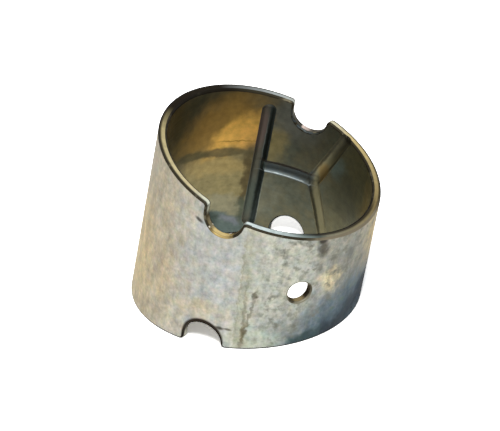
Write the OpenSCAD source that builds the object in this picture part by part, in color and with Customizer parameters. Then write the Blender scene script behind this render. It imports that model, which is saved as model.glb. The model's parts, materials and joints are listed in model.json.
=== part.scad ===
// Engine bearing shell: a full-round plain bush with slanted ends, half-round
// notches, one oil hole and oil grooves in the bore. It stands on its lower end
// face, so the bore leans towards +X, the short side. The origin is where the
// bore axis meets that face. Angles round the bore are counted from the short side.

/* [Shell] */
// Outside diameter
outer_d = 50; // [40:0.5:80]
// Wall thickness
wall = 2; // [1.6:0.1:4]
// Length along the bore axis
axis_len = 34.5; // [28:0.5:60]
// Slant of each end face away from square
end_slant = 10; // [2:0.5:12]
// Chamfer round the outer edge of each end
outer_chamfer = 0.4; // [0.1:0.05:0.8]
// Chamfer round the bore edge of each end
bore_chamfer = 0.5; // [0.1:0.05:0.8]

/* [End notches] */
// Width of each half-round notch
notch_w = 8.8; // [6:0.1:12]
// Depth of each notch, from the end face at its middle
notch_depth = 5.5; // [4.8:0.1:9]
// Radius between a notch's side and the end face
notch_corner_r = 1; // [0.3:0.1:2]

/* [Oil hole] */
// Diameter of the oil hole
oil_hole_d = 5.2; // [3:0.1:8]
// Angle of the oil hole
oil_hole_angle = -45.5; // [-60:0.5:-25]
// Chamfer round the oil hole's outer edge
oil_hole_chamfer = 0.3; // [0.1:0.05:0.8]

/* [Oil grooves] */
// Width of the grooves at the bore
groove_w = 3; // [2:0.1:4]
// Depth of the grooves below the bore
groove_depth = 0.8; // [0.3:0.05:1]
// Angle of the straight groove that runs along the bore
long_groove_angle = 113; // [108:0.5:125]
// Land between each end of that groove and the end face
long_groove_land = 2.4; // [1:0.1:5]
// Angle where the cross groove forks into two arms
fork_angle = 81; // [76:0.5:95]
// Angle where the arms leave through the end faces
arm_angle = 64; // [55:0.5:70]

/* [Hidden] */
$fn = 180;

outer_r = outer_d / 2;
bore_r = outer_r - wall;
half_len = axis_len / 2;
slope = tan(end_slant);
// How far a cutter reaches past the face that it cuts
past = 1;
long_side_half = half_len + slope * outer_r;

// The groove cutter is round: its radius gives the width and depth at the bore
groove_r = (pow(groove_w / 2, 2) + pow(groove_depth, 2)) / (2 * groove_depth);
groove_path_r = bore_r + groove_depth - groove_r;

// Each notch ends in a half circle, this far from the end face
notch_r = notch_w / 2;
notch_base_y = notch_r - notch_depth;

// Half the length of the shell at a point x towards the short side
function end_height(x) = half_len - slope * x;

// A point on the grooves' path
function on_path(angle, z) = [groove_path_r * cos(angle), groove_path_r * sin(angle), z];

// Both end faces are alike, mirrored about the middle of the bore
module at_both_ends() {
    for (end = [0, 1])
        mirror([0, 0, end])
            children();
}

module rod(from, to) {
    run = to - from;
    translate(from)
        rotate([0, acos(run.z / norm(run)), atan2(run.y, run.x)])
            cylinder(r = groove_r, h = norm(run));
}

module tube() {
    difference() {
        cylinder(r = outer_r, h = 2 * long_side_half, center = true);
        cylinder(r = bore_r, h = 2 * (long_side_half + past), center = true);
    }
}

// What lies beyond the slanted end face
module end_cut() {
    side = 4 * outer_r;
    translate([0, 0, half_len])
        rotate([0, end_slant, 0])
            translate([-side / 2, -side / 2, 0])
                cube(side);
}

// Ring cutter for the chamfer at radius r: way is 1 for the outside, -1 for the bore
module edge_cut(r, chamfer, way) {
    rotate_extrude()
        polygon([
            [r + way * past, -chamfer - past],
            [r + way * past, past],
            [r - way * (chamfer + past), past]
        ]);
}

// The chamfers follow the slant, so their cutters are sheared along it
module end_chamfers() {
    translate([0, 0, half_len])
        multmatrix([[1, 0, 0, 0], [0, 1, 0, 0], [-slope, 0, 1, 0], [0, 0, 0, 1]]) {
            edge_cut(outer_r, outer_chamfer, 1);
            edge_cut(bore_r, bore_chamfer, -1);
        }
}

// Middle of the round corner between a notch and the slanted end face. It lies
// beside the notch's straight side, or lower down against its round bottom.
function corner_x(side) =
    let (
        reach = notch_r + notch_corner_r,
        rise = notch_base_y + notch_corner_r / cos(end_slant),
        against_bottom = sqrt(pow(reach / cos(end_slant), 2) - pow(rise, 2)) * side - slope * rise
    )
    -slope * side * reach >= rise ? side * reach : against_bottom * pow(cos(end_slant), 2);

// Rounds the corner between a notch and the slanted end face
module notch_corner(side) {
    centre_x = corner_x(side);
    centre_y = -slope * centre_x - notch_corner_r / cos(end_slant);
    face_x = centre_x + notch_corner_r * sin(end_slant);
    face_y = centre_y + notch_corner_r * cos(end_slant);
    difference() {
        polygon([
            [centre_x, centre_y],
            [0, max(centre_y, notch_base_y)],
            [0, face_y + past],
            [face_x, face_y + past],
            [face_x, face_y]
        ]);
        translate([centre_x, centre_y])
            circle(r = notch_corner_r);
    }
}

// Notch outline, with the middle of its mouth at the origin
module notch_outline() {
    translate([0, notch_base_y])
        circle(r = notch_r);
    translate([-notch_r, notch_base_y])
        square([notch_w, notch_depth + notch_r]);
    notch_corner(1);
    notch_corner(-1);
}

module notch() {
    reach = outer_r / 2;
    translate([0, -reach, half_len])
        rotate([90, 0, 0])
            linear_extrude(outer_r + past - reach)
                notch_outline();
}

module oil_hole() {
    hole_r = oil_hole_d / 2;
    rotate([0, 0, oil_hole_angle])
        rotate([0, 90, 0]) {
            translate([0, 0, outer_r / 2])
                cylinder(r = hole_r, h = outer_r);
            translate([0, 0, outer_r - oil_hole_chamfer])
                cylinder(r1 = hole_r, r2 = hole_r + oil_hole_chamfer + past, h = oil_hole_chamfer + past);
        }
}

// Straight groove along the bore, with round blind ends
module long_groove() {
    path_x = groove_path_r * cos(long_groove_angle);
    end_z = end_height(path_x) - long_groove_land - groove_w / 2;
    rod(on_path(long_groove_angle, -end_z), on_path(long_groove_angle, end_z));
    at_both_ends()
        translate(on_path(long_groove_angle, end_z))
            sphere(r = groove_r);
}

// Groove round the bore at mid-length, from the straight groove to the fork
module cross_groove() {
    rotate([0, 0, fork_angle])
        rotate_extrude(angle = long_groove_angle - fork_angle)
            translate([groove_path_r, 0])
                circle(r = groove_r);
}

// Arms that run from the fork out through both end faces
module fork_arms() {
    fork = on_path(fork_angle, 0);
    leave = on_path(arm_angle, end_height(groove_path_r * cos(arm_angle)));
    overrun = (leave - fork) * groove_w / axis_len;
    at_both_ends()
        rod(fork - overrun, leave + 2 * overrun);
}

module bearing_shell() {
    color("#a8a595")
        rotate([0, end_slant, 0])
            translate([0, 0, half_len])
                difference() {
                    tube();
                    at_both_ends() {
                        end_cut();
                        end_chamfers();
                        notch();
                        rotate([0, 0, 180])
                            mirror([1, 0, 0])
                                notch();
                    }
                    oil_hole();
                    long_groove();
                    cross_groove();
                    fork_arms();
                }
}

bearing_shell();
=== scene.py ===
import json
import math

import bpy
from mathutils import Matrix, Quaternion, Vector


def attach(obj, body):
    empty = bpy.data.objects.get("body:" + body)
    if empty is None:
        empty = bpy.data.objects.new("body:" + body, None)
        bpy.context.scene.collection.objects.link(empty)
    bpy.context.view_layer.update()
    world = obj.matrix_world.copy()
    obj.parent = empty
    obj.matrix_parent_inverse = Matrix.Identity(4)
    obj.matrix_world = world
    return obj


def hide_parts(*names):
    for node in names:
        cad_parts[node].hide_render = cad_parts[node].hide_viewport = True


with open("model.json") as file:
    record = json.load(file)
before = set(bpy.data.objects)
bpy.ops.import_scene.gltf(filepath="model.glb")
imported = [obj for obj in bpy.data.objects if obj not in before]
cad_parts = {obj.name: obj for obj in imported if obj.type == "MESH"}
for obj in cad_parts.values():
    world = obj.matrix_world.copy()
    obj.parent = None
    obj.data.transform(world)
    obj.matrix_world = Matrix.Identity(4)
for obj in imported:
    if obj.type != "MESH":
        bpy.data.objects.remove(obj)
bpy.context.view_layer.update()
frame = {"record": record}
mounts = {mount["name"]: mount for mount in frame["record"]["mounts"]}

# One millimetre in metres, which are Blender's unit
MM = 0.001

# The bush's main sizes in millimetres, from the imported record
OUTER_R = mounts["outside"]["dims"]["r_mm"]
BORE_R = mounts["bore"]["dims"]["r_mm"]
WALL = OUTER_R - BORE_R
HALF_LEN = Vector(mounts["outside"]["pos_m"]).length / MM
BORE_AXIS = Vector(mounts["bore"]["axis"])
LEAN = math.atan2(BORE_AXIS.x, BORE_AXIS.z)
SLOPE = math.tan(LEAN)
STRIP_LEN = 2 * math.pi * OUTER_R

# Notches, oil hole and grooves, in millimetres, with angles in degrees round the bore from its short side
FRONT_NOTCH_ANGLE = -90
BACK_NOTCH_ANGLE = 90
NOTCH_R = 4.4
NOTCH_DEPTH = 5.5
NOTCH_CORNER_R = 1.0
OIL_HOLE_R = mounts["oil_hole"]["dims"]["r_mm"]
OIL_HOLE_ANGLE = -45.5
GROOVE_W = 3.0
GROOVE_DEPTH = 0.8
LONG_GROOVE_ANGLE = 113
LONG_GROOVE_LAND = 2.4
FORK_ANGLE = 81
ARM_ANGLE = 64

# No two groove tools go to quite the same depth, so that their surfaces never lie on each other
CROSS_GROOVE_DEPTH = 0.97 * GROOVE_DEPTH
UPPER_ARM_DEPTH = 0.94 * GROOVE_DEPTH
LOWER_ARM_DEPTH = 0.92 * GROOVE_DEPTH

# How far an arm's tool starts before the fork and runs on past the strip's end, as shares of the arm
ARM_LEAD = 0.03
ARM_OVERRUN = 0.3

# The seam where the rolled strip closes, and the edge roundings
SEAM_ANGLE = -75.5
OUTER_EDGE_R = 0.4
BORE_EDGE_R = 0.5
GROOVE_EDGE_R = 0.15

# How finely the strip, its curves and the tools are divided
COLUMNS = 240
NOTCH_STEPS = 32
CORNER_STEPS = 6
EDGE_STEPS = 3
HOLE_STEPS = 72
ROD_STEPS = 64
ROD_RINGS = 16

# The least bend of a sharp edge, the gap within which points are one, and an edge too short to keep
SHARP = math.radians(30)
WELD = 0.01
SLIVER = 0.001


# The flat strip

def along(angle):
    """Place along the flat strip of an angle round the bore."""
    return math.radians((angle - SEAM_ANGLE) % 360) * OUTER_R


def turn_at(u):
    """Angle round the bore, in radians, of a place along the strip."""
    return math.radians(SEAM_ANGLE) + u / OUTER_R


def end_height(u, radius=OUTER_R):
    """Height of the slanted upper end over the middle of the strip, at that radius."""
    return HALF_LEN - SLOPE * radius * math.cos(turn_at(u))


def arc(centre, radius, start, stop, steps):
    """Points on an arc, from start to stop in degrees."""
    turns = [math.radians(start + (stop - start) * i / steps) for i in range(steps + 1)]
    return [(centre[0] + radius * math.cos(t), centre[1] + radius * math.sin(t)) for t in turns]


def notch_edge(angle):
    """The U of one notch in the upper end, with its rounded corners, from left to right."""
    middle = along(angle)
    top = end_height(middle)
    tilt = SLOPE * math.sin(math.radians(angle))
    reach = NOTCH_R + NOTCH_CORNER_R
    base = top + NOTCH_R - NOTCH_DEPTH
    corner = {}
    dip = {}
    for side in (-1, 1):
        dip[side] = 0
        # A corner that sits below the middle of the U's curve touches it lower down. A few rounds find where
        for _ in range(5):
            x = side * reach * math.cos(dip[side])
            y = top + tilt * x - NOTCH_CORNER_R * math.hypot(1, tilt)
            dip[side] = math.asin(max(0, base - y) / reach)
        corner[side] = (middle + x, y)
    edge_turn = 90 + math.degrees(math.atan(tilt))
    left_dip = math.degrees(dip[-1])
    right_dip = math.degrees(dip[1])
    left = arc(corner[-1], NOTCH_CORNER_R, edge_turn, left_dip, CORNER_STEPS)
    bottom = arc((middle, base), NOTCH_R, 180 + left_dip, 360 - right_dip, NOTCH_STEPS)
    right = arc(corner[1], NOTCH_CORNER_R, 180 - right_dip, edge_turn, CORNER_STEPS)
    if left_dip:
        bottom = bottom[1:]
    if right_dip:
        bottom = bottom[:-1]
    return left + bottom + right


def slant(start, stop):
    """Points on the unrolled slant between two places along the strip, at about the columns' step."""
    steps = round((stop - start) / STRIP_LEN * COLUMNS)
    places = [start + (stop - start) * i / steps for i in range(steps + 1)]
    return [(u, end_height(u)) for u in places]


def upper_edge():
    """The strip's upper end from one seam edge to the other: the unrolled slant with its two notches."""
    points = []
    start = 0
    for notch in sorted(notch_edge(angle) for angle in (FRONT_NOTCH_ANGLE, BACK_NOTCH_ANGLE)):
        points += slant(start, notch[0][0])[:-1] + notch
        start = notch[-1][0]
    return points + slant(start, STRIP_LEN)[1:]


def only(obj):
    """Selects the object alone and makes it the active one."""
    bpy.ops.object.select_all(action="DESELECT")
    obj.select_set(True)
    bpy.context.view_layer.objects.active = obj


def pick(obj, kind, chosen):
    """Goes into edit mode with only the points, edges or faces of the chosen numbers selected."""
    only(obj)
    bpy.ops.object.mode_set(mode="EDIT")
    bpy.ops.mesh.select_all(action="DESELECT")
    bpy.ops.mesh.select_mode(type=kind)
    bpy.ops.object.mode_set(mode="OBJECT")
    items = {"VERT": obj.data.vertices, "EDGE": obj.data.edges, "FACE": obj.data.polygons}[kind]
    for number in chosen:
        items[number].select = True
    bpy.ops.object.mode_set(mode="EDIT")


def weld(obj, gap, chosen):
    """Joins those of the chosen points that lie closer together than the gap."""
    pick(obj, "VERT", chosen)
    bpy.ops.mesh.remove_doubles(threshold=gap)
    bpy.ops.object.mode_set(mode="OBJECT")


def apply_modifier(obj, kind, **settings):
    """Adds a modifier of that kind and applies it."""
    only(obj)
    modifier = obj.modifiers.new(kind.lower(), kind)
    for name, value in settings.items():
        setattr(modifier, name, value)
    bpy.ops.object.modifier_apply(modifier=modifier.name)


def strip_blank(finishes):
    """The blank as cut from sheet: one outline with a wall's thickness below it.

    The finishes are those of its back, its lining, its cut ends and its edges.
    """
    edge = upper_edge()
    outline = edge + [(u, -v) for u, v in reversed(edge)]
    bpy.ops.object.select_all(action="DESELECT")
    bpy.ops.mesh.primitive_circle_add(vertices=len(outline), radius=OUTER_R, fill_type="NGON")
    strip = bpy.context.object
    strip.name = "bearing_bush"
    for vertex, (u, v) in zip(strip.data.vertices, outline):
        vertex.co = (u, v, 0)
    strip.data.update()
    if strip.data.polygons[0].normal.z < 0:
        strip.data.flip_normals()
    for finish in finishes:
        strip.data.materials.append(finish)
    apply_modifier(strip, "SOLIDIFY", thickness=WALL, offset=-1, material_offset=1,
                   material_offset_rim=2)
    return strip


def cut(strip, cutter, finish):
    """Takes the cutter out of the strip, and gives the cut that finish."""
    cutter.data.materials.append(finish)
    apply_modifier(strip, "BOOLEAN", object=cutter, operation="DIFFERENCE", solver="EXACT",
                   material_mode="TRANSFER")
    bpy.data.objects.remove(cutter)
    weld(strip, WELD, range(len(strip.data.vertices)))


def oil_hole_punch():
    """A round bar through the flat strip where the oil hole goes."""
    bpy.ops.object.select_all(action="DESELECT")
    bpy.ops.mesh.primitive_cylinder_add(vertices=HOLE_STEPS, radius=OIL_HOLE_R, depth=3 * WALL)
    punch = bpy.context.object
    punch.data.transform(Matrix.Translation((along(OIL_HOLE_ANGLE), 0, -WALL / 2)))
    return punch


def groove_tool(start, stop, depth):
    """A round-ended rod whose top leaves a groove of that depth.

    Its start and stop are lengths round the bore, which are stretched to the strip's.
    """
    radius = ((GROOVE_W / 2) ** 2 + GROOVE_DEPTH ** 2) / (2 * GROOVE_DEPTH)
    run = Vector((stop[0] - start[0], stop[1] - start[1], 0))
    bpy.ops.object.select_all(action="DESELECT")
    bpy.ops.mesh.primitive_uv_sphere_add(segments=ROD_STEPS, ring_count=ROD_RINGS, radius=radius)
    tool = bpy.context.object
    for vertex in tool.data.vertices:
        if vertex.co.z > WELD:
            vertex.co.z += run.length
    turn = run.to_track_quat("Z", "Y").to_matrix().to_4x4()
    place = Matrix.Translation((start[0], start[1], -WALL + depth - radius))
    stretch = Matrix.Diagonal((OUTER_R / BORE_R, 1, 1, 1))
    tool.data.transform(stretch @ place @ turn)
    return tool


def press_grooves(strip, finish):
    """The long groove, the cross groove from its middle, and the fork's two arms out to the ends."""
    def on_bore(angle, v):
        return Vector((along(angle) * BORE_R / OUTER_R, v))

    long_half = end_height(along(LONG_GROOVE_ANGLE), BORE_R) - LONG_GROOVE_LAND - GROOVE_W / 2
    long_ends = [on_bore(LONG_GROOVE_ANGLE, v) for v in (-long_half, long_half)]
    fork = on_bore(FORK_ANGLE, 0)
    tools = [
        groove_tool(*long_ends, GROOVE_DEPTH),
        groove_tool(fork, on_bore(LONG_GROOVE_ANGLE, 0), CROSS_GROOVE_DEPTH),
    ]
    arm_top = end_height(along(ARM_ANGLE), BORE_R)
    for end, depth in ((-arm_top, LOWER_ARM_DEPTH), (arm_top, UPPER_ARM_DEPTH)):
        arm = on_bore(ARM_ANGLE, end) - fork
        tools.append(groove_tool(fork - ARM_LEAD * arm, fork + (1 + ARM_OVERRUN) * arm, depth))
    for tool in tools:
        cut(strip, tool, finish)


def round_edges(strip, radius, finish, wanted):
    """Rounds the sharp edges that wanted picks by their middle, and gives the rounding that finish."""
    faces = {}
    for face in strip.data.polygons:
        for key in face.edge_keys:
            faces.setdefault(key, []).append(face.normal)
    sharp = []
    for edge in strip.data.edges:
        normals = faces[edge.key]
        ends = [strip.data.vertices[i].co for i in edge.vertices]
        middle = (ends[0] + ends[1]) / 2
        at_seam = min(middle.x, STRIP_LEN - middle.x) < WELD
        if at_seam or len(normals) != 2 or normals[0].angle(normals[1]) < SHARP:
            continue
        if wanted(middle):
            sharp.append(edge.index)
    pick(strip, "EDGE", sharp)
    slot = strip.data.materials.find(finish.name)
    bpy.ops.mesh.bevel(offset=radius, segments=EDGE_STEPS, profile=0.5, clamp_overlap=False, material=slot)
    bpy.ops.mesh.select_all(action="SELECT")
    bpy.ops.mesh.dissolve_degenerate(threshold=SLIVER)
    bpy.ops.object.mode_set(mode="OBJECT")


def in_bore(place):
    """True on the lining, short of the rounded edges of its ends."""
    return place.z < -WALL / 2 and abs(place.y) < end_height(place.x) - 3 * BORE_EDGE_R


def divide(strip):
    """Cuts the strip across at even steps, so that it can roll."""
    only(strip)
    bpy.ops.object.mode_set(mode="EDIT")
    for i in range(1, COLUMNS):
        bpy.ops.mesh.select_all(action="SELECT")
        bpy.ops.mesh.bisect(plane_co=(STRIP_LEN * i / COLUMNS, 0, 0), plane_no=(1, 0, 0))
    bpy.ops.object.mode_set(mode="OBJECT")


def open_seam(strip):
    """Takes off the strip's two end walls, which meet when it is rolled."""
    walls = []
    for face in strip.data.polygons:
        across = [strip.data.vertices[i].co.x for i in face.vertices]
        if max(across) < WELD or min(across) > STRIP_LEN - WELD:
            walls.append(face.index)
    pick(strip, "FACE", walls)
    bpy.ops.mesh.delete(type="FACE")
    bpy.ops.object.mode_set(mode="OBJECT")


def keep_flat_places(strip):
    """A UV map with each corner's place on the flat strip: millimetres from the seam and from the middle."""
    flat = strip.data.uv_layers.new(name="strip")
    for corner in strip.data.loops:
        flat.data[corner.index].uv = strip.data.vertices[corner.vertex_index].co.xy


def roll(strip):
    """Rolls the strip round the bore, leans it on its slanted end in metres, and closes its seam."""
    apply_modifier(strip, "WEIGHTED_NORMAL", weight=80)
    mesh = strip.data
    lean = Matrix.Rotation(LEAN, 3, "Y")
    normals = []
    for corner in mesh.loops:
        u, _, w = mesh.vertices[corner.vertex_index].co
        flat = mesh.corner_normals[corner.index].vector
        out = Vector((math.cos(turn_at(u)), math.sin(turn_at(u)), 0))
        round_bore = Vector((-out.y, out.x, 0)) * OUTER_R / (OUTER_R + w)
        rolled = round_bore * flat.x + Vector((0, 0, flat.y)) + out * flat.z
        normals.append(lean @ rolled.normalized())
    seam = [vertex.index for vertex in mesh.vertices if not WELD < vertex.co.x < STRIP_LEN - WELD]
    for vertex in mesh.vertices:
        u, v, w = vertex.co
        radius = OUTER_R + w
        height = v * end_height(u, radius) / end_height(u)
        turn = turn_at(u)
        place = Vector((radius * math.cos(turn), radius * math.sin(turn), height + HALF_LEN))
        vertex.co = lean @ place * MM
    mesh.normals_split_custom_set(normals)
    weld(strip, WELD * MM, seam)


# Finishes. Each row of stains gives shade, middle, half size, turn, softness and strength, on the flat strip

def linear(colour):
    """An sRGB hex colour as Blender's linear colour."""
    parts = [int(colour[i:i + 2], 16) / 255 for i in (1, 3, 5)]
    return [c / 12.92 if c <= 0.04045 else ((c + 0.055) / 1.055) ** 2.4 for c in parts] + [1]


def add(tree, kind, inputs=None, **settings):
    """Adds a node with its settings. An input is set, or linked to a socket or to a node's first output."""
    node = tree.nodes.new(kind)
    for name, value in settings.items():
        setattr(node, name, value)
    for key, value in (inputs or {}).items():
        if isinstance(value, bpy.types.Node):
            value = value.outputs[0]
        if isinstance(value, bpy.types.NodeSocket):
            tree.links.new(value, node.inputs[key])
        else:
            node.inputs[key].default_value = value
    return node


def metal(name, metallic, glancing="#ffffff"):
    """A new metal finish, its node tree, its places on the flat strip in millimetres and those in the room.

    Glancing is the tint of what it reflects at a shallow angle, which oil and oxide make darker.
    """
    material = bpy.data.materials.new(name)
    material.use_nodes = True
    tree = material.node_tree
    shader = tree.nodes["Principled BSDF"]
    shader.inputs["Metallic"].default_value = metallic
    shader.inputs["Specular Tint"].default_value = linear(glancing)
    flat = add(tree, "ShaderNodeUVMap", uv_map="strip")
    solid = add(tree, "ShaderNodeTexCoord").outputs["Object"]
    return material, tree, flat, solid


def finish_surface(tree, colour, roughness, relief, strength, depth):
    """Gives a finish its colour, its roughness and a relief of that depth."""
    bump = add(tree, "ShaderNodeBump", {"Height": relief, "Strength": strength, "Distance": depth})
    shader = tree.nodes["Principled BSDF"]
    for name, node in (("Base Color", colour), ("Roughness", roughness), ("Normal", bump)):
        tree.links.new(node.outputs[0], shader.inputs[name])


def mottle(tree, places, size, low, high, least=0.0, most=1.0, detail=4):
    """Patches of about that size. Their values from low to high are stretched to run from least to most."""
    patches = add(tree, "ShaderNodeTexNoise", {"Vector": places, "Scale": 1 / size, "Detail": detail,
                                               "Roughness": 0.6})
    return add(tree, "ShaderNodeMapRange", {"Value": patches, "From Min": low, "From Max": high,
                                            "To Min": least, "To Max": most})


def ragged(tree, places, reach, size):
    """Places pushed about by up to that reach, in blotches of that size, which frays a stain's outline.

    The noise mostly stays within a quarter of its middle, so it is multiplied by four times the reach.
    """
    push = add(tree, "ShaderNodeTexNoise", {"Vector": places, "Scale": 1 / size, "Detail": 3})
    centred = add(tree, "ShaderNodeVectorMath", {0: push.outputs["Color"], 1: (0.5, 0.5, 0.5)},
                  operation="SUBTRACT")
    return add(tree, "ShaderNodeVectorMath", {0: centred, 1: (4 * reach, 4 * reach, 0), 2: places},
               operation="MULTIPLY_ADD")


def stain(tree, colour, places, shade, middle, half, turn, soft, strength):
    """Lays an oval stain of that shade over a colour. It fades out over a soft share of its half size."""
    local = add(tree, "ShaderNodeMapping", {"Vector": places, "Location": (*middle, 0),
                                            "Rotation": (0, 0, math.radians(turn)), "Scale": (*half, 1)},
                vector_type="TEXTURE")
    far = add(tree, "ShaderNodeVectorMath", {0: local}, operation="LENGTH").outputs["Value"]
    cover = add(tree, "ShaderNodeMapRange", {"Value": far, "From Min": 1 + soft / 2,
                                             "From Max": 1 - soft / 2, "To Max": strength},
                interpolation_type="SMOOTHSTEP")
    return add(tree, "ShaderNodeMixRGB", {"Fac": cover, "Color1": colour, "Color2": linear(shade)})


def from_axis(tree, solid):
    """Distance of each place from the bore's axis, in metres."""
    upright = add(tree, "ShaderNodeMapping", {"Vector": solid, "Rotation": (0, -LEAN, 0)})
    level = add(tree, "ShaderNodeVectorMath", {0: upright, 1: (1, 1, 0)}, operation="MULTIPLY")
    return add(tree, "ShaderNodeVectorMath", {0: level}, operation="LENGTH").outputs["Value"]


def tinned_steel_back():
    """Cold-rolled steel back with a dull tin flash: satin grey, mottled beige and blue by use and heat."""
    material, tree, places, solid = metal("tinned_steel_back", 0.7)
    parts = add(tree, "ShaderNodeSeparateXYZ", {0: places})
    # Signed distance round from the seam, so that a stain may lie across it
    round_seam = add(tree, "ShaderNodeMath", {0: parts.outputs["X"], 1: STRIP_LEN / 2, 2: -STRIP_LEN / 2},
                     operation="WRAP")
    flat = add(tree, "ShaderNodeCombineXYZ", {0: round_seam, 1: parts.outputs["Y"]})

    # Cool and warm clouds a few millimetres wide, over the whole back
    clouds = mottle(tree, solid, 4 * MM, 0.38, 0.62, detail=5)
    colour = add(tree, "ShaderNodeMixRGB", {"Fac": clouds, "Color1": linear("#a3a7a3"),
                                            "Color2": linear("#b4ae9f")})

    # Stains of handling and heat, and on the lower right a bluish slate patch with near-black cores that is
    # partly patina and partly painted shade
    loose = ragged(tree, flat, 2.0, 4)
    for spot in (
        ("#aa9d81", (-33, 0), (19, 34), 0, 0.8, 0.7),
        ("#cdb782", (-33, -6), (8, 12), 0, 1.2, 0.5),
        ("#b5a172", (42, 9), (12, 13), 0, 0.9, 0.9),
        ("#adb0a2", (9, 5), (9, 14), 0, 1.0, 0.6),
        ("#a2a7a7", (-6, 4), (8, 11), 0, 1.2, 0.5),
        ("#b8ab8c", (-9, -8.5), (6, 2.4), 10, 1.2, 0.55),
        ("#ad9d7e", (-27, -1), (2.5, 5), 0, 1.2, 0.4),
        ("#ad9d7e", (-19, -5), (2.2, 6), 0, 1.2, 0.35),
        ("#7c7c71", (24, 8), (8, 9), 0, 1.2, 0.75),
        ("#6e716c", (29, -2), (5, 5), 0, 1.2, 0.55),
        # Lower right: partly bluish patina, partly painted shade
        ("#455a66", (32.5, -17), (24, 16.8), 0, 0.8, 0.94),
        ("#141e26", (28, -10.5), (13, 3.6), 28, 1.2, 0.85),
        ("#2c3a44", (34, -8.5), (6, 4.5), 0, 1.0, 0.7),
        ("#18222c", (42.5, -6), (6, 6.5), 0, 1.2, 0.9),
        ("#2f4242", (16, -13), (4, 2.2), 20, 1.2, 0.85),
        ("#aeb7a4", (5, -13), (6, 4), 0, 1.2, 0.4),
        ("#c9bc98", (20.4, 1.7), (2.6, 3), 0, 1.2, 0.85),
    ):
        colour = stain(tree, colour, loose, *spot)

    # The closed seam, with old oil along it and below the nick in the rim
    close = ragged(tree, flat, 0.5, 1.2)
    for mark in (
        ("#9a9a82", (0.95, 0), (1.3, 26), 3.3, 1.0, 0.5),
        ("#7c7a62", (0.05, 0), (0.22, 20), 2.4, 1.6, 0.35),
        ("#6c6a56", (1.9, -7), (0.35, 10), 4.2, 1.4, 0.5),
        ("#6c6248", (2.4, -11.5), (0.6, 2.6), 0, 1.4, 0.7),
        ("#57523f", (2.9, -7.7), (0.3, 7.4), -6.2, 1.4, 0.6),
        ("#4a4638", (3.3, -0.9), (0.6, 0.9), -10, 1.2, 0.85),
        ("#37342a", (16.9, 11), (1.3, 2.2), 10, 1.2, 0.8),
        ("#565b5a", (25.5, 6.9), (1.5, 2.2), 20, 1.0, 0.5),
    ):
        colour = stain(tree, colour, close, *mark)

    # Rolling streaks along the bush, blotches, and the fine grain of the tin flash
    stretched = add(tree, "ShaderNodeMapping", {"Vector": places, "Scale": (1 / 2.2, 1 / 7, 1)})
    streaks = mottle(tree, stretched, 1, 0.35, 0.65, 0.84, 1.14)
    blotches = mottle(tree, solid, 1.8 * MM, 0.35, 0.65, 0.83, 1.15)
    grain = mottle(tree, solid, 0.7 * MM, 0.3, 0.7, 0.86, 1.14)
    for level in (streaks, blotches, grain):
        colour = add(tree, "ShaderNodeVectorMath", {0: colour, "Scale": level}, operation="SCALE")

    # Faint pink, green and lavender tints of old heat
    tints = add(tree, "ShaderNodeTexNoise", {"Vector": solid, "Scale": 1 / (1.4 * MM), "Detail": 3})
    push = add(tree, "ShaderNodeVectorMath", {0: tints.outputs["Color"], 1: (0.3, 0.15, 0.36),
                                              2: (0.85, 0.925, 0.82)}, operation="MULTIPLY_ADD")
    colour = add(tree, "ShaderNodeVectorMath", {0: colour, 1: push}, operation="MULTIPLY")

    # Dark specks from the seam round to the right, where they fade out towards the back
    specks = mottle(tree, flat, 2.4, 0.5, 0.66, 0, 0.9, detail=6)
    start = add(tree, "ShaderNodeMapRange", {"Value": round_seam, "From Min": 2, "From Max": 7})
    fade = add(tree, "ShaderNodeMapRange", {"Value": round_seam, "From Min": 75, "From Max": 45})
    right_side = add(tree, "ShaderNodeMath", {0: start, 1: fade}, operation="MINIMUM")
    cover = add(tree, "ShaderNodeMath", {0: specks, 1: right_side}, operation="MULTIPLY")
    colour = add(tree, "ShaderNodeMixRGB", {"Fac": cover, "Color1": colour, "Color2": linear("#6a6b60")},
                 blend_type="DARKEN")

    # Painted shadow round the lower front notch, standing in for the dark floor seen through it, and small
    # dark spots at dents in the wall and rim
    notch = along(FRONT_NOTCH_ANGLE) - STRIP_LEN
    notch_base = NOTCH_DEPTH - NOTCH_R - HALF_LEN
    for dark_patch in (
        # Painted shadow: a dark border on the wall round the lower front notch
        ("#1a1004", (notch, notch_base + 0.4), (NOTCH_R + 0.5, NOTCH_R + 0.8), 0, 0.12, 1.0),
        ("#37322a", (-11.8, 13.4), (1.0, 0.42), -18, 1.2, 0.9),
        ("#37322a", (-2.8, -11.4), (0.95, 0.4), 0, 1.2, 0.9),
        ("#4a453a", (-1.0, -11.2), (0.8, 0.3), 0, 1.2, 0.8),
        ("#2e2820", (16.4, 13.2), (1.1, 0.7), 0, 1.0, 0.9),
    ):
        colour = stain(tree, colour, flat, *dark_patch)

    # On the lower right the glancing reflections are tinted almost black, which is painted shade on that
    # edge
    glancing = stain(tree, linear("#d0cfcc"), loose, "#101418", (42, -12), (10, 11), 0, 1.4, 0.95)
    tree.links.new(glancing.outputs[0], tree.nodes["Principled BSDF"].inputs["Specular Tint"])

    # Satin sheen that is broken by the grain
    sheen = mottle(tree, solid, 1.8 * MM, 0.3, 0.7, 0.42, 0.6)
    finish_surface(tree, colour, sheen, mottle(tree, solid, 0.7 * MM, 0, 1), 0.4, 0.05 * MM)
    return material


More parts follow.
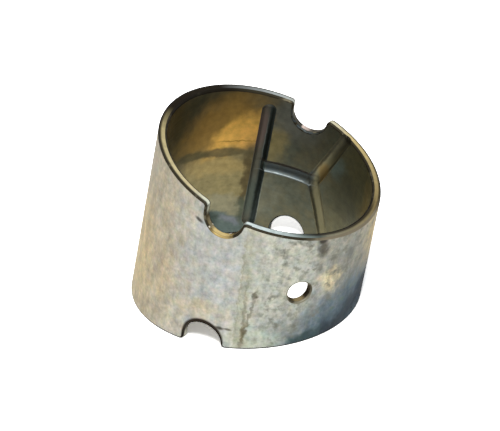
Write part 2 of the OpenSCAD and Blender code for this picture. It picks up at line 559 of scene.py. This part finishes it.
def bronze_lining():
    """Leaded bronze lining, bored and run in: brown gold where the pin has polished it, olive elsewhere,
    with a painted golden reflection and painted shade on the far wall.
    """
    material, tree, places, solid = metal("bronze_lining", 0.85)
    clouds = mottle(tree, solid, 5 * MM, 0.38, 0.62, detail=5)
    colour = add(tree, "ShaderNodeMixRGB", {"Fac": clouds, "Color1": linear("#625e48"),
                                            "Color2": linear("#575a4c")})

    # Wear and old oil. The gold patch on the far wall is partly polish and partly a painted reflection, and
    # its dark upper left is partly painted shade
    loose = ragged(tree, places, 1.4, 4)
    for spot in (
        ("#8d8259", (93, -5), (11, 9.5), 0, 0.6, 0.85),
        ("#a5915d", (94, 0.4), (10, 3), 4, 1.0, 0.7),
        ("#84826c", (89.5, -12), (9, 3), 0, 0.8, 0.75),
        # Dark upper left: partly dark bronze, partly painted shade
        ("#4a3f17", (115, 15), (13, 14), 0, 1.0, 0.85),
        ("#3e3c28", (95, 19.5), (12, 2.6), -6, 1.2, 0.75),
        ("#7d6a34", (104, 7), (6, 4), 0, 1.2, 0.7),
        # Gold patch: partly polish, partly a painted reflection
        ("#9c7a38", (94, 12), (11, 6), -30, 1.2, 0.85),
        ("#6a6c64", (75, 14), (7, 5.5), 0, 1.0, 0.75),
        ("#a08f58", (79, 6.5), (2.6, 4.5), 0, 1.2, 0.5),
        ("#6c7267", (79, -8), (3, 6), 0, 1.0, 0.35),
        ("#656140", (48, 2), (14, 30), 0, 1.0, 0.8),
        ("#6a7b74", (62, 6.4), (2.4, 3), 0, 1.2, 0.75),
        ("#3f4030", (58, 1), (5, 6), 0, 1.2, 0.6),
        ("#9c874c", (44.5, 3), (5, 9), 0, 1.2, 0.7),
        # The brightest gold: partly polish, partly a painted reflection
        ("#eab85a", (89.4, 8.3), (8, 3.4), -35, 0.9, 0.85),
        ("#e2b05a", (85.6, 7.4), (3, 3.6), 0, 0.9, 0.75),
        ("#53615e", (90, -18.5), (11, 5), 0, 0.25, 0.9),
        ("#2b362f", (93.5, -15.8), (3.2, 2.4), 0, 1.0, 0.85),
        ("#74777f", (87, -15.2), (2.4, 1.1), 0, 1.2, 0.7),
        ("#4a4028", (84.6, -5), (1.3, 9), 0, 1.0, 0.85),
        ("#4b5446", (84.3, -12.5), (1.5, 3.5), 0, 1.0, 0.8),
    ):
        colour = stain(tree, colour, loose, *spot)
    close = ragged(tree, places, 0.3, 2)
    for mark in (
        ("#5a5338", (92, 3.3), (7, 1.2), 1, 0.6, 0.85),
        ("#4f4a2c", (101.5, 3.9), (6, 1.2), 6, 0.8, 0.8),
        ("#8a6a2c", (88.5, 6.3), (4.5, 0.16), 0, 1.2, 0.7),
    ):
        colour = stain(tree, colour, close, *mark)
    blotches = mottle(tree, solid, 1.6 * MM, 0.3, 0.7, 0.82, 1.18)
    colour = add(tree, "ShaderNodeVectorMath", {0: colour, "Scale": blotches}, operation="SCALE")

    # Boring marks run round the bore, drawn 0.5 mm apart, coarser than the real ones, so that they show
    rings = add(tree, "ShaderNodeMapping", {"Vector": places, "Scale": (1 / 60, 1 / 0.5, 1)})
    sheen = mottle(tree, rings, 1, 0.3, 0.7, 0.36, 0.5, detail=2)
    finish_surface(tree, colour, sheen, mottle(tree, rings, 1, 0, 1, detail=2), 0.25, 0.03 * MM)
    return material


def cut_steel():
    """Sheared and faced steel of the ends, notches and hole: brighter than the back, oily in places."""
    material, tree, places, solid = metal("cut_steel", 0.8, "#c8c2b4")
    parts = add(tree, "ShaderNodeSeparateXYZ", {0: places})
    # How the upper rim's colour goes round from the seam, in millimetres. Its pale bluish tones round the
    # seam are a painted highlight on the near rim
    way_round = add(tree, "ShaderNodeMapRange", {"Value": parts.outputs["X"], "From Max": STRIP_LEN})
    rim = add(tree, "ShaderNodeValToRGB", {"Fac": way_round})
    stops = rim.color_ramp.elements
    for end in stops:
        end.color = linear("#d0dede")
    for place, shade in (
        (6, "#c4d2d2"),
        (12, "#7f8f8d"),
        (16, "#4a5450"),
        (18, "#85826f"),
        (36, "#82734c"),
        (60, "#c8b580"),
        (67, "#d0ccb2"),
        (80, "#b2baba"),
        (95, "#0e0b07"),
        (112, "#130d06"),
        (122, "#b8ab7e"),
        (141, "#c9bd95"),
        (148, "#dfe8dc"),
    ):
        stops.new(place / STRIP_LEN).color = linear(shade)
    upper = add(tree, "ShaderNodeMapRange", {"Value": parts.outputs["Y"]})
    colour = add(tree, "ShaderNodeMixRGB", {"Fac": upper, "Color1": linear("#b3b3a6"), "Color2": rim})

    # A dark band along the rim's outer edge, from its right round the back to the seam
    radius = from_axis(tree, solid)
    outer = add(tree, "ShaderNodeMapRange", {"Value": radius, "From Min": (OUTER_R - 0.8) * MM,
                                             "From Max": (OUTER_R - 0.5) * MM, "To Max": 0.85})
    away = add(tree, "ShaderNodeMapRange", {"Value": parts.outputs["X"], "From Min": 33, "From Max": 40})
    cover = add(tree, "ShaderNodeMath", {0: outer, 1: away}, operation="MULTIPLY")
    colour = add(tree, "ShaderNodeMixRGB", {"Fac": cover, "Color1": colour, "Color2": linear("#1a1610")})

    # Painted shade along the rim's bore edge on the near right, as on a wider chamfer
    inner = add(tree, "ShaderNodeMapRange", {"Value": radius, "From Min": (BORE_R + 1.2) * MM,
                                             "From Max": (BORE_R + 0.8) * MM, "To Max": 0.9})
    near = add(tree, "ShaderNodeMapRange", {"Value": parts.outputs["X"], "From Min": 8, "From Max": 15})
    far = add(tree, "ShaderNodeMapRange", {"Value": parts.outputs["X"], "From Min": 41, "From Max": 35})
    reach = add(tree, "ShaderNodeMath", {0: near, 1: far}, operation="MINIMUM")
    cover = add(tree, "ShaderNodeMath", {0: inner, 1: reach}, operation="MULTIPLY")
    colour = add(tree, "ShaderNodeMixRGB", {"Fac": cover, "Color1": colour, "Color2": linear("#1a1610")})

    # The walls of the notches and the hole, with a painted highlight on the back notch's floor
    front_notch = along(FRONT_NOTCH_ANGLE)
    back_notch = along(BACK_NOTCH_ANGLE)
    hole = along(OIL_HOLE_ANGLE)
    close = ragged(tree, places, 0.6, 2)
    for spot in (
        ("#6d5c38", (front_notch, 13.5), (5.4, 3.6), 0, 0.4, 0.9),
        ("#d8c184", (front_notch, 11.7), (3.2, 0.9), 0, 0.9, 0.9),
        ("#1d1612", (back_notch, 14), (5.4, 3.6), 0, 0.4, 0.9),
        # Painted highlight along the back notch's floor
        ("#e6d2c8", (back_notch + 1.1, 11.8), (1.4, 0.5), 0, 0.9, 0.9),
        ("#44382a", (front_notch, -13), (5, 4), 0, 0.3, 0.9),
        ("#44382a", (back_notch, -13), (5, 4), 0, 0.3, 0.9),
        ("#4a3d2a", (hole, 0), (4, 4), 0, 0.2, 0.9),
        ("#94845f", (hole, -2.5), (1.6, 0.9), 0, 0.9, 0.8),
    ):
        colour = stain(tree, colour, close, *spot)
    blotches = mottle(tree, solid, 1.2 * MM, 0.3, 0.7, 0.85, 1.15)
    colour = add(tree, "ShaderNodeVectorMath", {0: colour, "Scale": blotches}, operation="SCALE")
    sheen = mottle(tree, solid, 1.2 * MM, 0.3, 0.7, 0.3, 0.46)
    finish_surface(tree, colour, sheen, mottle(tree, solid, 1.2 * MM, 0, 1), 0.3, 0.04 * MM)
    return material


def dark_edge():
    """Broken edges, where oil and dirt have darkened the steel, rubbed bright in places, with painted shade
    on the lower rim and at the hole and a painted glint at the upper front notch.
    """
    material, tree, places, solid = metal("dark_edge", 0.6, "#6e6a60")
    rub = mottle(tree, places, 4, 0.55, 0.72, detail=3)
    colour = add(tree, "ShaderNodeMixRGB", {"Fac": rub, "Color1": linear("#332f24"),
                                            "Color2": linear("#7a745f")})

    # The far left of the upper rim, the whole lower rim in painted shade, the hole's edge with painted shade
    # at its sides, and the upper front notch's edge with a painted glint
    hole = along(OIL_HOLE_ANGLE)
    front_notch = along(FRONT_NOTCH_ANGLE)
    close = ragged(tree, places, 0.4, 1.5)
    for spot in (
        ("#15110b", (104, 20), (14, 6), 0, 0.6, 0.9),
        # Painted shade along the whole lower rim
        ("#120e09", (STRIP_LEN / 2, -21), (2 * STRIP_LEN, 10), 0, 0.4, 0.85),
        ("#8f8b78", (hole, 0), (3.6, 3.6), 0, 0.2, 0.7),
        # Painted shade at the hole's lower left and at its right
        ("#2c261c", (hole - 1.6, -2.2), (1.0, 0.7), 0, 1.0, 0.8),
        ("#3c3628", (hole + 2.5, 0.6), (0.5, 1.6), 0, 1.0, 0.7),
        ("#ad9762", (front_notch + 0.2, 11.5), (2.6, 1.2), 0, 0.9, 0.85),
        # A painted glint
        ("#f2ecd6", (front_notch - 2.6, 12.6), (0.35, 0.3), 0, 0.8, 0.9),
    ):
        colour = stain(tree, colour, close, *spot)

    # The upper rim's outer edge is worn clean on the near right, and its bore edge there is painted dark as
    # the shade of a wider chamfer
    worn = stain(tree, colour, close, "#837a66", (26, 13.2), (12, 3), 0, 0.6, 0.85)
    shaded_bore_edge = stain(tree, colour, close, "#120e09", (24, 13.2), (15, 3), 0, 0.6, 0.9)
    outside = add(tree, "ShaderNodeMapRange", {"Value": from_axis(tree, solid),
                                               "From Min": (BORE_R + 0.8) * MM,
                                               "From Max": (OUTER_R - 0.8) * MM})
    colour = add(tree, "ShaderNodeMixRGB", {"Fac": outside, "Color1": shaded_bore_edge, "Color2": worn})

    sheen = mottle(tree, places, 4, 0.3, 0.7, 0.6, 0.4, detail=3)
    finish_surface(tree, colour, sheen, mottle(tree, places, 0.8, 0, 1), 0.3, 0.04 * MM)
    return material


def pressed_groove():
    """Bronze pressed down to make the oil grooves: dark and slate, because old oil stays in them, with
    painted shade on their shaded walls and painted highlights on their lit edges.
    """
    material, tree, places, solid = metal("pressed_groove", 0.85)
    clouds = mottle(tree, solid, 2 * MM, 0.35, 0.65)
    colour = add(tree, "ShaderNodeMixRGB", {"Fac": clouds, "Color1": linear("#414b4f"),
                                            "Color2": linear("#4b4f4a")})

    # The arms' middles and lean, and painted shade along both sides of each
    arm_end = along(ARM_ANGLE)
    arm_u = (along(FORK_ANGLE) + arm_end) / 2
    arm_v = end_height(arm_end, BORE_R) / 2
    arm_lean = math.degrees(math.atan2(along(FORK_ANGLE) - arm_u, arm_v))
    aside = 1.45
    arm_side_shades = []
    for way in (1, -1):
        for u in (arm_u + aside, arm_u - aside):
            arm_side_shades.append(("#2b2a1f", (u, way * arm_v), (0.3, arm_v), way * arm_lean, 1.4, 0.8))

    # Old oil and wear, with painted shade and painted highlights, on the arms, then on the long groove, then
    # on the cross groove
    middle = along(LONG_GROOVE_ANGLE)
    close = ragged(tree, places, 0.12, 1.5)
    for spot in (
        ("#8c8665", (62, 0), (6.5, 30), 0, 0.3, 0.85),
        *arm_side_shades,
        ("#3a3829", ((arm_end + arm_u) / 2, 1.6 * arm_v), (1.8, 6), arm_lean, 1.2, 0.8),
        # Painted shade where the upper arm's groove runs out at the rim
        ("#1d1a12", (arm_end, 2 * arm_v), (2.2, 2), 0, 0.9, 0.85),
        ("#8d7440", (66, 3), (1.6, 2.4), 0, 0.8, 0.7),
        ("#5b594b", (middle + 0.8, 0), (1.5, 30), 0, 0.8, 0.85),
        ("#73625c", (middle + 0.8, 9.5), (1.4, 5), 0, 1.0, 0.7),
        ("#4c5850", (middle + 0.7, -9), (1.4, 5), 0, 1.0, 0.7),
        # Painted shade on the long groove's right wall
        ("#343e3b", (middle - 0.95, 0), (0.7, 30), 0.8, 1.0, 0.9),
        ("#10170f", (middle - 0.85, -1), (0.36, 14), 0.8, 0.8, 0.85),
        # A painted glint down the long groove's middle, and a painted highlight on its right edge
        ("#9aa09c", (middle - 0.4, 7), (0.12, 6), 0, 1.4, 0.3),
        ("#a4aa9c", (middle - 1.7, -9), (0.14, 6), 0, 1.4, 0.6),
        # Painted shade on the cross groove's upper wall, and a painted highlight on its lower edge
        ("#33291d", (75, 1.25), (6.6, 0.6), 0, 0.8, 0.9),
        ("#9aa2a2", (75, -1.45), (6.2, 0.16), 0, 1.2, 0.5),
    ):
        colour = stain(tree, colour, close, *spot)
    sheen = mottle(tree, solid, 2 * MM, 0.3, 0.7, 0.42, 0.58)
    finish_surface(tree, colour, sheen, mottle(tree, solid, 0.6 * MM, 0, 1), 0.3, 0.04 * MM)
    return material


# Camera, floor and light

VIEW_TARGET = Vector((1.01, 0.25, 18.67)) * MM
VIEW_DISTANCE = 875 * MM
VIEW_AZIMUTH = math.radians(23.41)
VIEW_ELEVATION = math.radians(31.05)
VIEW_ROLL = math.radians(-0.36)
VIEW_LENS = 288.8
VIEW_SENSOR = 36

# How bright the paper and the sky are as light on the bush, in its reflections and to the camera
PAPER_LIGHT = 0.4
PAPER_REFLECTED = 1.5
PAPER_SEEN = 2.6
SKY_LIGHT = 0.4
SKY_SEEN = 1

# The paper's and the softbox's sizes and place in metres, and the softbox's power in watts
PAPER_SIZE = 6
SOFTBOX_PLACE = Vector((0.2, -0.49, 0.85))
SOFTBOX_SIZE = 0.3
SOFTBOX_POWER = 8


def place_camera():
    """A long lens from the front right, above the bush."""
    level = Vector((math.sin(VIEW_AZIMUTH), -math.cos(VIEW_AZIMUTH), 0)) * math.cos(VIEW_ELEVATION)
    away = level + Vector((0, 0, math.sin(VIEW_ELEVATION)))
    data = bpy.data.cameras.new("camera")
    data.lens = VIEW_LENS
    data.sensor_width = VIEW_SENSOR
    data.clip_start = 0.01
    camera = bpy.data.objects.new("camera", data)
    camera.location = VIEW_TARGET + away * VIEW_DISTANCE
    camera.rotation_mode = "QUATERNION"
    camera.rotation_quaternion = away.to_track_quat("Z", "Y") @ Quaternion((0, 0, 1), VIEW_ROLL)
    bpy.context.collection.objects.link(camera)
    bpy.context.scene.camera = camera


def seen_directly(tree):
    """One for the camera's rays and for reflections, none for the rays that only carry light."""
    ray = add(tree, "ShaderNodeLightPath")
    mirrored = add(tree, "ShaderNodeMath", {0: ray.outputs["Is Glossy Ray"],
                                            1: ray.outputs["Is Transmission Ray"]}, operation="MAXIMUM")
    return add(tree, "ShaderNodeMath", {0: ray.outputs["Is Camera Ray"], 1: mirrored}, operation="MAXIMUM")


def pale_floor():
    """White paper. It looks brighter than it lights the bush, most to the camera, so the shadow is pale."""
    bpy.ops.object.select_all(action="DESELECT")
    bpy.ops.mesh.primitive_plane_add(size=PAPER_SIZE)
    floor = bpy.context.object
    floor.name = "floor"
    material = bpy.data.materials.new("white_paper")
    material.use_nodes = True
    tree = material.node_tree
    tree.nodes.clear()
    reflected = add(tree, "ShaderNodeMapRange", {"Value": seen_directly(tree), "To Min": PAPER_LIGHT,
                                                 "To Max": PAPER_REFLECTED})
    in_view = add(tree, "ShaderNodeLightPath").outputs["Is Camera Ray"]
    shade = add(tree, "ShaderNodeMapRange", {"Value": in_view, "To Min": reflected, "To Max": PAPER_SEEN})
    paper = add(tree, "ShaderNodeBsdfDiffuse", {"Color": shade})
    add(tree, "ShaderNodeOutputMaterial", {"Surface": paper})
    floor.data.materials.append(material)


def white_sky():
    """A plain white studio all round, brighter to the camera and in reflections than as light."""
    world = bpy.data.worlds.new("studio")
    bpy.context.scene.world = world
    world.use_nodes = True
    tree = world.node_tree
    tree.nodes.clear()
    level = add(tree, "ShaderNodeMapRange", {"Value": seen_directly(tree), "To Min": SKY_LIGHT,
                                             "To Max": SKY_SEEN})
    sky = add(tree, "ShaderNodeBackground", {"Color": linear("#ffffff"), "Strength": level})
    add(tree, "ShaderNodeOutputWorld", {"Surface": sky})


def softbox():
    """One round lamp above the camera, turned towards the bush."""
    lamp = bpy.data.lights.new("key", "AREA")
    lamp.shape = "DISK"
    lamp.size = SOFTBOX_SIZE
    lamp.energy = SOFTBOX_POWER
    box = bpy.data.objects.new("key", lamp)
    box.location = SOFTBOX_PLACE
    box.rotation_euler = (SOFTBOX_PLACE - VIEW_TARGET).to_track_quat("Z", "Y").to_euler()
    bpy.context.collection.objects.link(box)


back = tinned_steel_back()
lining = bronze_lining()
ends = cut_steel()
edges = dark_edge()
groove = pressed_groove()

strip = strip_blank([back, lining, ends, edges])
cut(strip, oil_hole_punch(), ends)
round_edges(strip, OUTER_EDGE_R, edges, lambda middle: middle.z > -WELD)
round_edges(strip, BORE_EDGE_R, edges, lambda middle: middle.z < WELD - WALL)
press_grooves(strip, groove)
round_edges(strip, GROOVE_EDGE_R, groove, in_bore)
divide(strip)
open_seam(strip)
keep_flat_places(strip)
roll(strip)
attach(strip, "root")
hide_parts("bearing_shell")

place_camera()
pale_floor()
white_sky()
softbox()
bpy.context.scene.view_settings.view_transform = "Standard"
